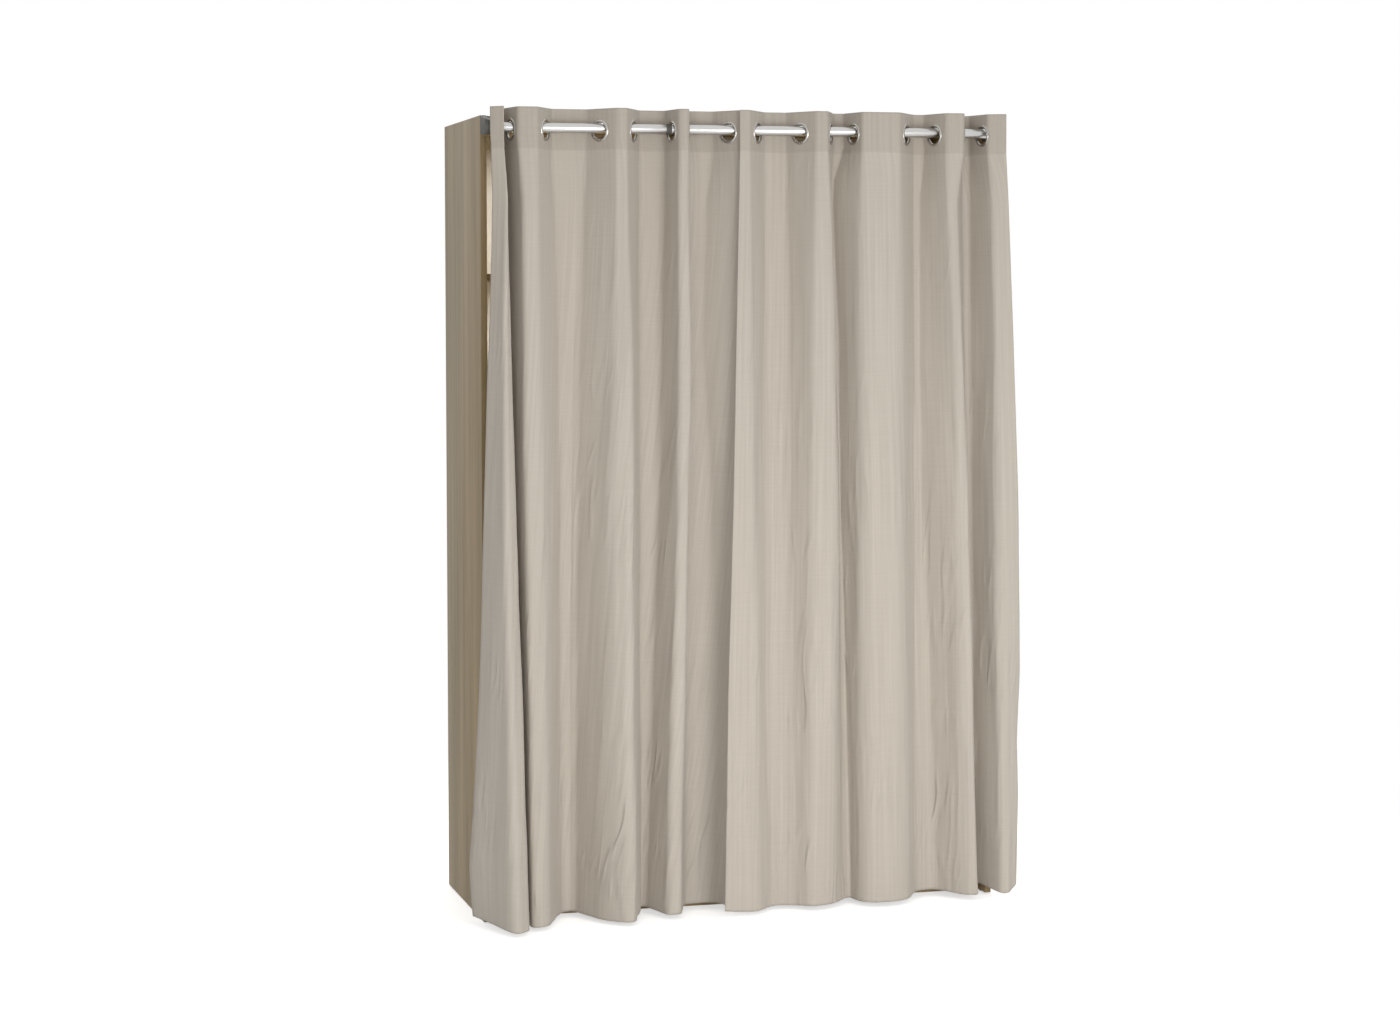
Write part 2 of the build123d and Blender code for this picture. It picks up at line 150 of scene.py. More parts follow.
# one node: its settings (stops are a ramp's), then sockets by name or by _number, each a value or a link
def add(owner, kind, settings=None, **links):
    tree = owner.node_tree
    node = tree.nodes.new("ShaderNode" + kind)
    for name, value in (settings or {}).items():
        if name != "stops":
            setattr(node, name, value)
            continue
        elements = node.color_ramp.elements
        while len(elements) < len(value):
            elements.new(0.5)
        for element, (spot, code) in zip(elements, value):
            element.position = spot
            element.color = linear(code)
    for name, value in links.items():
        numbered = name[0] == "_" and name[1:].isdigit()
        socket = node.inputs[int(name[1:])] if numbered else node.inputs[name.replace("_", " ")]
        if isinstance(value, bpy.types.NodeSocket):
            tree.links.new(value, socket)
        else:
            socket.default_value = value
    return node


def join(owner, out, socket):
    owner.node_tree.links.new(out, socket)


# melamine board, calendered print of grey oak: soft bands, finer streaks and pores along the grain
boardLook = {
    "base": "#8F8370", "roughness": 0.52, "specular": 0.35, "relief": (0.12, 0.3),  # strength, mm
    "layers": ((120.0, 2600.0, 1.0), (24.0, 700.0, 4.0), (2.4, 60.0, 2.0)),  # mm across, mm along, detail
    "streakShare": 0.45, "poreShare": 0.22,
    "stops": ((0.34, "#705F3C"), (0.45, "#82704E"), (0.54, "#937E5B"), (0.64, "#A28C69")),
}


def boardMaterial(name, grain):
    material, shader = newMaterial(name, boardLook["base"], boardLook["roughness"])
    shader.inputs["Specular IOR Level"].default_value = boardLook["specular"]
    where = add(material, "TexCoord")
    layers = []
    for wide, long, detail in boardLook["layers"]:
        stretch = [1 / (wide * mm)] * 3
        stretch["XYZ".index(grain)] = 1 / (long * mm)
        mapped = add(material, "Mapping", Vector=where.outputs["Object"], Scale=stretch)
        layer = add(material, "TexNoise", Vector=mapped.outputs["Vector"], Scale=1.0, Detail=detail)
        layers.append(layer.outputs["Fac"])
    bands, streaks, pores = layers
    mixing = {"data_type": "FLOAT"}
    coarse = add(material, "Mix", mixing, _0=boardLook["streakShare"], _2=bands, _3=streaks)
    both = add(material, "Mix", mixing, _0=boardLook["poreShare"], _2=coarse.outputs[0], _3=pores)
    tone = add(material, "ValToRGB", {"stops": boardLook["stops"]}, Fac=both.outputs[0])
    join(material, tone.outputs["Color"], shader.inputs["Base Color"])
    strength, deep = boardLook["relief"]
    bump = add(material, "Bump", Strength=strength, Distance=deep * mm, Height=pores)
    join(material, bump.outputs["Normal"], shader.inputs["Normal"])
    return material


uprightBoard = boardMaterial("melamine board, grain upright", "Z")
levelBoard = boardMaterial("melamine board, grain across", "X")


# a speckled finish: noise of a size in mm drives the colour, the roughness or a fine bump
speckLook = {"stops": (0.32, 0.68), "detail": 3.0, "deep": 0.2}


def speckled(name, base, roughness, size, tones, metallic=0.0, rough=None, bump=0.0, stretch=(1, 1, 1)):
    material, shader = newMaterial(name, base, roughness, metallic)
    where = add(material, "TexCoord")
    scale = [s / (size * mm) for s in stretch]
    mapped = add(material, "Mapping", Vector=where.outputs["Object"], Scale=scale)
    detail = speckLook["detail"]
    speck = add(material, "TexNoise", Vector=mapped.outputs["Vector"], Scale=1.0, Detail=detail)
    fleck = speck.outputs["Fac"]
    tone = add(material, "ValToRGB", {"stops": list(zip(speckLook["stops"], tones))}, Fac=fleck)
    join(material, tone.outputs["Color"], shader.inputs["Base Color"])
    if rough:
        change = add(material, "MapRange", Value=fleck, To_Min=rough[0], To_Max=rough[1])
        join(material, change.outputs["Result"], shader.inputs["Roughness"])
    if bump:
        relief = add(material, "Bump", Strength=bump, Distance=speckLook["deep"] * mm, Height=fleck)
        join(material, relief.outputs["Normal"], shader.inputs["Normal"])
    return material


# thin hardboard: roller-coated cream lacquer on the room side gives a soft even sheen
creamBack = speckled("hardboard, cream lacquer", "#DDD8CC", 0.45, 110.0, ("#D9D4C8", "#E2DDD2"))
# and its other side is bare pressed fibre, brown, matt and mottled
fibreBack = speckled("hardboard, bare fibre", "#7A5F45", 0.85, 4.0, ("#665039", "#8C7154"), bump=0.5)
# drawn steel tube, satin chrome: neutral, with fine marks along its length that soften the highlights
satinChrome = speckled(
    "steel tube, satin chrome", "#CAC9C7", 0.27, 1.1, ("#C5C4C2", "#CFCECC"), 1.0, (0.22, 0.32),
    stretch=(0.01, 1, 1),
)
# pressed steel, nickel plated and barrel polished: slightly warm and soft
nickel = speckled(
    "pressed steel, nickel plated", "#B9B6B1", 0.26, 2.4, ("#B2AFAA", "#C0BDB8"), 1.0, (0.19, 0.34),
)
# zinc-plated steel: pale, faintly spangled
zinc = speckled("steel, zinc plated", "#B4B4B0", 0.4, 3.2, ("#A5A5A1", "#BDBDB8"), 1.0, (0.32, 0.48))
# moulded ABS with a spark-eroded grain of 0.7 mm: matt, with a broken highlight
greyPlastic = speckled("ABS, mid grey, moulded", "#4E4C47", 0.65, 0.7, ("#494742", "#54524D"), bump=0.25)
darkPlastic = speckled("ABS, dark grey, moulded", "#55534E", 0.5, 0.7, ("#504E49", "#5B5954"), bump=0.25)
# turned beech, fibres along the peg
beech = speckled("beech, turned", "#CDB084", 0.7, 1.5, ("#BE9F72", "#D7BC92"), stretch=(1, 1, 0.06))
print("board, metal and plastic finishes mixed")


# plain-woven cotton mix, unbleached beige: matt, with long slubs; its own UV map is in metres
clothLook = {
    # the header tint is painted shade, a darker colour multiplied over the cloth above the seam
    "tones": ("#B1A99E", "#B8B0A5", "#BFB7AC"), "stops": (0.27, 0.5, 0.73), "headerShadeTint": "#F5F4F3",
    "roughness": 0.88, "specular": 0.2, "sheen": (0.12, 0.5),  # weight, roughness
    "slub": (7.0, 450.0), "weft": (120.0, 4.0), "weftShare": 0.25,  # mm across, mm along
    "thread": 2.2, "weave": (0.07, 0.3),  # strength, mm
    "packing": 340.0, "packingWidth": 4.0, "packingPatch": 7.0, "packed": (0.35, 0.8),  # strength, mm
    "crumple": (44.0, 240.0), "crumpleLean": 5.0, "crumpleNarrow": 0.11, "crumpled": (1.0, 2.2),
    "crumplePatch": 4.5, "crumplePatchEdge": (0.48, 0.6),
    "crumpleHeights": (0.2, 1.5), "crumpleLeast": 0.25,  # metres above the floor, share left at the top
}


def clothMaterial(name):
    tones = clothLook["tones"]
    material, shader = newMaterial(name, tones[1], clothLook["roughness"])
    shader.inputs["Specular IOR Level"].default_value = clothLook["specular"]
    shader.inputs["Sheen Weight"].default_value = clothLook["sheen"][0]
    shader.inputs["Sheen Roughness"].default_value = clothLook["sheen"][1]
    uv = add(material, "UVMap", {"uv_map": "cloth"}).outputs["UV"]
    threads = []
    for wide, long in (clothLook["slub"], clothLook["weft"]):
        scale = (1 / (wide * mm), 1 / (long * mm), 1.0)
        stretched = add(material, "Mapping", Vector=uv, Scale=scale)
        yarn = add(material, "TexNoise", Vector=stretched.outputs["Vector"], Scale=1.0, Detail=3.0)
        threads.append(yarn.outputs["Fac"])
    slub, weft = threads
    mixed = add(material, "Mix", {"data_type": "FLOAT"}, _0=clothLook["weftShare"], _2=slub, _3=weft)
    stops = list(zip(clothLook["stops"], tones))
    tone = add(material, "ValToRGB", {"stops": stops}, Fac=mixed.outputs[0])
    # painted shade: above the seam, where the header is two layers of cloth, the cloth's colour is
    # multiplied by a darker tint
    where = add(material, "TexCoord")
    height = add(material, "SeparateXYZ", Vector=where.outputs["Object"])
    under, over = drape["seam"] * mm - mm, drape["seam"] * mm + mm
    headerShadeMask = add(material, "MapRange", Value=height.outputs["Z"], From_Min=under, From_Max=over)
    shade = add(material, "Mix", {"data_type": "RGBA", "blend_type": "MULTIPLY"})
    join(material, headerShadeMask.outputs["Result"], shade.inputs[0])
    join(material, tone.outputs["Color"], shade.inputs[6])
    shade.inputs[7].default_value = linear(clothLook["headerShadeTint"])
    join(material, shade.outputs[2], shader.inputs["Base Color"])
    # threads are about 0.6 mm apart; they are drawn wider so that the weave shows from near by
    across, along = [
        add(material, "TexWave", {"bands_direction": way}, Vector=uv,
            Scale=math.tau / 20 / (clothLook["thread"] * mm), Distortion=0.6, Detail=1.0)
        for way in ("X", "Y")
    ]
    minus, unsigned, times = {"operation": "SUBTRACT"}, {"operation": "ABSOLUTE"}, {"operation": "MULTIPLY"}
    crossing = add(material, "Math", minus, _0=across.outputs["Fac"], _1=along.outputs["Fac"])
    weave = add(material, "Math", unsigned, _0=crossing.outputs[0])
    strength, deep = clothLook["weave"]
    fine = add(material, "Bump", Strength=strength, Distance=deep * mm, Height=weave.outputs[0])
    # level creases from the packet that never quite hung out
    level = add(material, "SeparateXYZ", Vector=uv)
    half = clothLook["packing"] * mm / 2
    off = add(material, "Math", {"operation": "PINGPONG"}, _0=level.outputs["Y"], _1=half)
    press = add(material, "MapRange", Value=off.outputs[0], From_Min=0.0,
                From_Max=clothLook["packingWidth"] * mm, To_Min=1.0, To_Max=0.0)
    patch = add(material, "TexNoise", Vector=uv, Scale=clothLook["packingPatch"], Detail=1.0)
    kept = add(material, "Math", times, _0=press.outputs["Result"], _1=patch.outputs["Fac"])
    strength, deep = clothLook["packed"]
    creased = add(material, "Bump", Strength=strength, Distance=deep * mm, Height=kept.outputs[0])
    join(material, fine.outputs["Normal"], creased.inputs["Normal"])
    # fine crumples of cotton that was folded, a few near the header and more towards the hem
    wide, long = clothLook["crumple"]
    scale = (1 / (wide * mm), 1 / (long * mm), 1.0)
    turn = (0.0, 0.0, math.radians(clothLook["crumpleLean"]))
    leaning = add(material, "Mapping", Vector=uv, Rotation=turn)
    drawn = add(material, "Mapping", Vector=leaning.outputs["Vector"], Scale=scale)
    folds = add(material, "TexNoise", Vector=drawn.outputs["Vector"], Scale=1.0, Detail=1.0)
    centred = add(material, "Math", minus, _0=folds.outputs["Fac"], _1=0.5)
    away = add(material, "Math", unsigned, _0=centred.outputs[0])
    soft = {"interpolation_type": "SMOOTHSTEP"}
    ridge = add(material, "MapRange", soft, Value=away.outputs[0], From_Min=0.0,
                From_Max=clothLook["crumpleNarrow"], To_Min=1.0, To_Max=0.0)
    patches = add(material, "TexNoise", Vector=uv, Scale=clothLook["crumplePatch"], Detail=1.0)
    few, full = clothLook["crumplePatchEdge"]
    group = add(material, "MapRange", soft, Value=patches.outputs["Fac"], From_Min=few, From_Max=full)
    bottom, top = clothLook["crumpleHeights"]
    lower = add(material, "MapRange", Value=height.outputs["Z"], From_Min=bottom, From_Max=top,
                To_Min=1.0, To_Max=clothLook["crumpleLeast"])
    some = add(material, "Math", times, _0=ridge.outputs["Result"], _1=group.outputs["Result"])
    some = add(material, "Math", times, _0=some.outputs[0], _1=lower.outputs["Result"])
    strength, deep = clothLook["crumpled"]
    crumpled = add(material, "Bump", Strength=strength, Distance=deep * mm, Height=some.outputs[0])
    join(material, creased.outputs["Normal"], crumpled.inputs["Normal"])
    join(material, crumpled.outputs["Normal"], shader.inputs["Normal"])
    return material


# how both curtains hang, in mm: a straight header on the eyelets, folds that soften towards the hem
drape = {
    "foldDepth": 45.0, "leastFlat": 14.0, "foldRadius": 12.0, "mostRound": 0.42, "roundArm": 0.42,
    "top": 2047.0, "seam": 1944.0, "hem": 10.0, "hemFold": 52.0, "sideFold": 24.0, "thick": 1.4,
    "step": 0.5, "seamStepWidth": 3.0, "sideStepWidth": 4.0,  # where the cloth turns from double to single
    "bendColumns": 13, "runColumns": 10, "headerRows": 26, "rows": 83, "hemRows": 7,
    "soften": (1.15, 0.6), "easeIn": 3, "liftFrom": 0.55, "liftOver": 0.45,  # by drop: 0 at seam, 1 at hem
    "hole": 24.6, "holeRim": 34.0, "holeReach": 50.0, "holeSlab": 6.0,
}
# hem corners are (along, ahead); drift is each corner's shift along, in a falling table of (height, mm);
# swells are (place among the corners, reach in mm, mm at the seam, mm at the hem)
leftCurtain = {
    "name": "curtain_left_cloth", "node": "curtain_left", "joint": "left_curtain_draw",
    "hand": "left", "fixedEyelet": 1,
    "firstFold": ((44.0, 106.0), (26.0, 84.0)),
    "eyelets": (28.0, 67.0, 154.0, 293.0, 379.0, 479.0, 521.0, 627.0),
    "turns": (84, 78, 55, 52, 58, 78, 79, 52),
    "folds": (1.27, 0.96, 0.76, 0.98, 0.93, 1.00, 0.89),
    "edges": ((10.0, 0.55), (678.0, 0.42)), "edgeFolds": (0.78, 0.60),
    "hem": (
        (-43, 20), (46, 200), (92, 146), (86, 72), (93, 70), (99, 136), (140, 118), (205, -20), (252, -18),
        (290, 94), (356, 144), (408, -12), (424, -4), (456, 84), (496, 80), (519, -18), (601, -18),
        (640, 44), (680, 40),
    ),
    "hemLift": (18, 0, 0, 6, 6, 0, 0, 5, 5, 0, 0, 8, 8, 2, 2, 7, 7, 4, 4),
    "drift": {
        0: ((1990, 0), (1822, 9), (1576, 12), (1379, 10), (1084, 10), (592, 12), (272, 5), (149, -2),
            (60, 4), (10, 10)),
        1: ((1944, 0), (1822, 4), (1530, -8), (1084, -12), (592, -10), (10, 0)),
        2: ((1962, 0), (1944, 4), (1822, 18), (1530, 16), (1084, 10), (592, 4), (10, 0)),
        5: ((1970, 0), (1822, 11), (1453, 8), (1084, 2), (592, 0), (10, 0)),
        7: ((1900, 0), (1822, 6), (1453, 12), (1084, 10), (592, 6), (10, 0)),
        8: ((1944, 0), (1822, -8), (1453, -18), (1084, -20), (592, -20), (10, -14)),
        10: ((1822, 0), (1453, 6), (1084, 6), (592, 2), (10, 0)),
        13: ((1822, 0), (1453, 8), (1084, 12), (592, 6), (10, 0)),
        14: ((1822, 0), (1453, 10), (1084, 10), (592, 0), (200, -4), (10, -4)),
        16: ((1944, 0), (1822, -18), (1453, -30), (1084, -14), (592, 0), (10, 0)),
    },
    "swells": ((7.8, 7.0, -1.5, -2.2), (15.5, 40.0, 2.0, 4.0)),
    "seed": 3.7, "flat": (1.18, 2.04), "rod": ("rod_tube_left", "rod_tube_right"),
}
rightCurtain = {
    "name": "curtain_right_cloth", "node": "curtain_right", "joint": "right_curtain_draw",
    "hand": "right", "fixedEyelet": 8,
    "firstFold": (),
    "eyelets": (704.0, 817.0, 898.0, 960.0, 1103.0, 1180.0, 1258.0, 1311.0),
    "turns": (52, 55, 64, 73, 52, 68, 74, 74),
    "folds": (0.84, 0.96, 1.00, 0.89, 0.93, 0.96, 1.27),
    "edges": ((645.0, 0.96), (1362.0, 0.90)), "edgeFolds": (0.96, 0.55),
    "hem": (
        (615, 92), (690, 100), (734, 36), (790, 36), (839, 84), (900, 66), (948, 18), (966, 10), (982, 74),
        (1096, 80), (1150, -4), (1205, -22), (1262, 60), (1299, 74), (1306, -16), (1322, -16), (1372, 92),
        (1404, 48),
    ),
    "hemLift": (6, 0, 0, 0, 2, 2, 4, 4, 2, 2, 8, 8, 4, 4, 24, 24, 6, 24),
    "drift": {
        0: ((1944, 0), (1084, -4), (592, -10), (10, -11)),
        5: ((1960, 0), (1822, 8), (1453, 20), (1084, 20), (592, 12), (10, 0)),
        6: ((1960, 0), (1822, -10), (1453, -6), (1084, 0), (10, 0)),
        7: ((1960, 0), (1880, -24), (1822, -28), (1453, -16), (1084, -16), (592, -8), (10, 0)),
        11: ((1930, 0), (1822, -12), (1453, -18), (1084, -18), (592, -10), (10, 0)),
        12: ((1900, 0), (1822, 2), (1453, 10), (1084, 10), (592, 6), (10, 0)),
        13: ((1950, 0), (1822, -24), (1453, -18), (1084, -4), (592, -6), (10, 0)),
        16: ((1960, 0), (1822, 8), (1453, 10), (1084, 4), (592, -4), (10, -6)),
        17: ((1944, 0), (1822, 5), (1453, 15), (1084, 22), (592, 22), (400, 13), (260, 15), (10, 8)),
    },
    "swells": ((2.5, 8.0, -1.6, -2.4), (8.5, 50.0, 2.0, 4.0), (10.5, 30.0, 1.0, 2.0)),
    "seed": 9.1, "flat": (1.14, 2.04), "rod": ("rod_tube_right",),
}


# the plan corners of the header: the cloth crosses the rod's line at each eyelet, ahead and behind in turn
def headerCorners(curtain):
    leans = [1 / math.tan(math.radians(turn)) for turn in curtain["turns"]]
    places = curtain["eyelets"]
    depth = drape["foldDepth"]
    reach = carcass["rodReach"]
    (firstAlong, firstAhead), (lastAlong, lastAhead) = curtain["edges"]
    rise = curtain["edgeFolds"][0] * depth
    firstFold = curtain["firstFold"] or ((places[0] - rise * leans[0], reach + rise),)
    corners = [planPoint(firstAlong, reach + firstAhead * depth)]
    corners += [planPoint(*corner) for corner in firstFold]
    side = 1
    for i, share in enumerate(curtain["folds"]):
        side = -side
        room = places[i + 1] - places[i] - drape["leastFlat"]
        rise = min(share * depth, room / (leans[i] + leans[i + 1]))
        corners.append(planPoint(places[i] + rise * leans[i], reach + side * rise))
        corners.append(planPoint(places[i + 1] - rise * leans[i + 1], reach + side * rise))
    rise = curtain["edgeFolds"][1] * depth
    corners.append(planPoint(places[-1] + rise * leans[-1], reach + rise))
    corners.append(planPoint(lastAlong, reach + lastAhead * depth))
    return corners


# a plan line through the corners, rounded tightly at the header (softness 0) and fully at the hem (1)
def foldLine(corners, softness):
    runs = [b - a for a, b in zip(corners, corners[1:])]
    ways = [run.normalized() for run in runs]
    backs = [0.0]
    for i in range(1, len(corners) - 1):
        bend = ways[i - 1].angle(ways[i])
        most = drape["mostRound"] * min(runs[i - 1].length, runs[i].length)
        tight = min(drape["foldRadius"] * math.tan(bend / 2), most)
        backs.append(tight + (most - tight) * softness)
    backs.append(0.0)
    points = []
    for i in range(len(runs)):
        start = corners[i] + ways[i] * backs[i]
        stop = corners[i + 1] - ways[i] * backs[i + 1]
        count = drape["runColumns"]
        points += [start.lerp(stop, k / count) for k in range(count)]
        if i + 1 < len(corners) - 1:
            corner, back = corners[i + 1], backs[i + 1]
            arms = (
                stop, corner - ways[i] * back * drape["roundArm"],
                corner + ways[i + 1] * back * drape["roundArm"], corner + ways[i + 1] * back,
            )
            for k in range(drape["bendColumns"]):
                t = k / drape["bendColumns"]
                shares = ((1 - t) ** 3, 3 * t * (1 - t) ** 2, 3 * t * t * (1 - t), t ** 3)
                points.append(sum((arm * share for arm, share in zip(arms, shares)), Vector((0, 0))))
    points.append(corners[-1].copy())
    return points


# where each column of foldLine lies among the corners: 2.5 is half way from corner 2 to corner 3, a run
# takes the middle half of that way, and a bend the quarters beside its corner
def cornerPlaces(corners):
    spots = []
    for i in range(len(corners) - 1):
        spots += [i + 0.25 + 0.5 * k / drape["runColumns"] for k in range(drape["runColumns"])]
        if i + 1 < len(corners) - 1:
            spots += [i + 0.75 + 0.5 * k / drape["bendColumns"] for k in range(drape["bendColumns"])]
    return spots + [len(corners) - 1]


def smooth(t):
    t = min(max(t, 0.0), 1.0)
    return t * t * (3 - 2 * t)


def spread(values, spots):
    out = []
    for spot in spots:
        i = max(0, min(int(spot), len(values) - 2))
        t = smooth(spot - i)
        out.append(values[i] * (1 - t) + values[i + 1] * t)
    return out


def nearest(values, target):
    return min(range(len(values)), key=lambda k: abs(values[k] - target))


# the value that a falling table of (height, value) gives at a height
def between(table, z):
    if z >= table[0][0]:
        return table[0][1]
    for (high, a), (low, b) in zip(table, table[1:]):
        if z >= low:
            return a + (b - a) * (high - z) / (high - low)
    return table[-1][1]


# how far the cloth stands off its plan line: broad slack, upright creases and slanting puckers near the
# header; each is (mm across, mm along, shift of the noise, height in mm)
wrinkles = {
    "slack": (95, 700, 0, 4.5), "wave": (42, 420, 11, 1.9), "crease": (30, 330, 23, 0.9),
    "pucker": (24, 90, 37, 0.7), "creaseSharp": 3.5, "puckerSharp": 4.5, "puckerSlant": 0.45,
    "puckerLow": 1600, "puckerRise": 250, "puckerEase": 12,
}


def waviness(kind, u, z, seed):
    wide, long, shift, high = wrinkles[kind]
    return noise.noise(Vector((u / wide, z / long, seed + shift))), high


def wrinkle(u, z, seed, drop):
    wave, high = waviness("slack", u, z, seed)
    out = wave * high * drop
    wave, high = waviness("wave", u, z, seed)
    out += wave * high * drop
    wave, high = waviness("crease", u, z, seed)
    out += smooth(max(0.0, 1 - (wave * wrinkles["creaseSharp"]) ** 2)) * high * drop
    wave, high = waviness("pucker", u + wrinkles["puckerSlant"] * z, z, seed)
    pucker = smooth(max(0.0, 1 - (wave * wrinkles["puckerSharp"]) ** 2)) * high
    upper = smooth((z - wrinkles["puckerLow"]) / wrinkles["puckerRise"])
    return out + pucker * upper * min(1.0, drop * wrinkles["puckerEase"])


# heights of the rows: closer together in the header and the hem, with a row at each side of a seam's step
def clothLevels():
    seam, fold, half = drape["seam"], drape["hemFold"], drape["seamStepWidth"] / 2
    bands = (
        (drape["top"], seam + half, drape["headerRows"]), (seam - half, fold + half, drape["rows"]),
        (fold - half, drape["hem"], drape["hemRows"]),
    )
    levels = []
    for high, end, count in bands:
        levels += [high + (end - high) * k / (count - 1) for k in range(count)]
    return levels


# the cloth's points row by row, how far each lies along its row, and the rows' heights
def clothGrid(curtain):
    header = headerCorners(curtain)
    hem = [planPoint(along, ahead) for along, ahead in curtain["hem"]]
    seam, low = drape["seam"], drape["hem"]
    softest, softening = drape["soften"]
    seamStep, sideStep = drape["seamStepWidth"], drape["sideStepWidth"]
    spots = cornerPlaces(header)
    lifts = spread(curtain["hemLift"], spots)
    levels = clothLevels()
    grid, walks = [], []
    for z in levels:
        drop = max(0.0, (seam - z) / (seam - low))
        corners = [a.lerp(b, drop) for a, b in zip(header, hem)]
        for i, table in curtain["drift"].items():
            corners[i].x += between(table, z)
        line = foldLine(corners, min(1.0, softest * drop ** softening))
        walked = [0.0]
        for a, b in zip(line, line[1:]):
            walked.append(walked[-1] + (b - a).length)
        walks.append(walked)
        middles = [walked[nearest(spots, swell[0])] for swell in curtain["swells"]]
        row = []
        ease = min(1.0, drop * drape["easeIn"])
        aboveSeam = smooth((z - seam + seamStep / 2) / seamStep)
        inHem = smooth((drape["hemFold"] + seamStep / 2 - z) / seamStep)
        rise = max(0.0, (drop - drape["liftFrom"]) / drape["liftOver"]) ** 2
        for i, point in enumerate(line):
            before, after = line[max(i - 1, 0)], line[min(i + 1, len(line) - 1)]
            way = (after - before).normalized()
            out = wrinkle(walked[i], z, curtain["seed"], ease)
            for middle, (_, reach, early, late) in zip(middles, curtain["swells"]):
                near = 1 - abs(walked[i] - middle) / reach
                if near > 0:
                    out += smooth(near) * (early + (late - early) * drop) * ease
            edge = min(walked[i], walked[-1] - walked[i])
            inSide = smooth((drape["sideFold"] + sideStep / 2 - edge) / sideStep)
            out += drape["step"] * max(aboveSeam, inHem, inSide)
            row.append(Vector((point.x + way.y * out, point.y - way.x * out, z + lifts[i] * rise)) * mm)
        grid.append(row)
    return grid, walks, levels


# each eyelet's middle plane: X along the cloth, Y up, Z square to the cloth towards the front
def eyeletPlaces(curtain):
    places, back = [], 1
    for along, turn in zip(curtain["eyelets"], curtain["turns"]):
        angle = math.radians(turn)
        way = Vector((math.cos(angle), back * math.sin(angle), 0))
        square = Vector((back * math.sin(angle), -math.cos(angle), 0))
        flat = planPoint(along, carcass["rodReach"])
        spot = Matrix((way, Vector((0, 0, 1)), square)).transposed().to_4x4()
        spot.translation = Vector((flat.x, flat.y, carcass["eyeletZ"])) * mm
        places.append(spot)
        back = -back
    return places


# the cloth's mesh with a round hole at each eyelet
def clothMesh(curtain, grid, walks, levels):
    mesh = bpy.data.meshes.new(curtain["name"])
    shape = bmesh.new()
    sheet = shape.loops.layers.uv.new("cloth")
    rows = [[shape.verts.new(p) for p in row] for row in grid]
    for r in range(len(rows) - 1):
        for c in range(len(rows[0]) - 1):
            spots = ((r, c), (r + 1, c), (r + 1, c + 1), (r, c + 1))
            face = shape.faces.new([rows[rr][cc] for rr, cc in spots])
            face.smooth = True
            for loop, (rr, cc) in zip(face.loops, spots):
                loop[sheet].uv = (walks[rr][cc] * mm, levels[rr] * mm)
    hole, rim, reach, slab = [drape[size] * mm for size in ("hole", "holeRim", "holeReach", "holeSlab")]
    lowest = carcass["eyeletZ"] * mm - reach
    for spot in eyeletPlaces(curtain):
        inverse = spot.inverted()
        near = {v: inverse @ v.co for v in shape.verts if v.co.z > lowest}
        near = {v: p for v, p in near.items() if abs(p.z) < slab and p.xy.length < reach}
        gone = [f for f in shape.faces if all(v in near for v in f.verts)
                and sum((near[v].xy for v in f.verts), Vector((0, 0))).length / 4 < hole]
        bmesh.ops.delete(shape, geom=gone, context="FACES")
        for v, p in near.items():
            if v.is_valid and v.is_boundary and p.xy.length < rim:
                flat = p.xy.normalized() * hole
                v.co = spot @ Vector((flat.x, flat.y, p.z))
    shape.to_mesh(mesh)
    shape.free()
    return mesh


# lockstitches of one thread along the seams, each a slim bead that sinks into the cloth at its ends
stitch = {
    "long": 3.2, "pitch": 4.4, "wide": 0.45, "proud": 0.35, "tipSunk": 0.2, "middleSunk": 0.3,
    "inHeader": 6, "inHem": 4, "inSide": 3,
}


def seamPaths(lengths, levels):
    for height in (drape["seam"] + stitch["inHeader"], drape["hemFold"] - stitch["inHem"]):
        row = nearest(levels, height)
        yield [(row, c) for c in range(len(lengths))]
    inside = drape["sideFold"] - stitch["inSide"]
    for distance in (inside, lengths[-1] - inside):
        column = nearest(lengths, distance)
        yield [(r, column) for r in range(len(levels))]


def stitchMesh(curtain, grid, lengths, levels):
    shape = bmesh.new()
    last = len(lengths) - 1
    pitch, tipSunk, middleSunk = [stitch[size] * mm for size in ("pitch", "tipSunk", "middleSunk")]

    def outward(r, c):
        side = grid[r][min(c + 1, last)] - grid[r][max(c - 1, 0)]
        return Vector((side.y, -side.x, 0)).normalized()

    for path in seamPaths(lengths, levels):
        walked = 0.0
        for (r, c), (rr, cc) in zip(path, path[1:]):
            a, b = grid[r][c], grid[rr][cc]
            length = (b - a).length
            while walked < length:
                out = outward(r, c).lerp(outward(rr, cc), walked / length).normalized()
                run = (b - a).normalized() * stitch["long"] * mm / 2
                middle = a.lerp(b, walked / length) + out * drape["thick"] * mm / 2
                across = run.normalized().cross(out) * stitch["wide"] * mm
                crest = middle + out * stitch["proud"] * mm
                ends = [shape.verts.new(middle + tip - out * tipSunk) for tip in (-run, run)]
                sides = (crest, middle + across, middle - out * middleSunk, middle - across)
                ring = [shape.verts.new(side) for side in sides]
                for k in range(4):
                    shape.faces.new((ends[0], ring[k], ring[(k + 1) % 4]))
                    shape.faces.new((ends[1], ring[(k + 1) % 4], ring[k]))
                walked += pitch
            walked -= length
    mesh = bpy.data.meshes.new(curtain["name"] + "_stitches")
    bmesh.ops.recalc_face_normals(shape, faces=shape.faces)
    shape.to_mesh(mesh)
    shape.free()
    return mesh


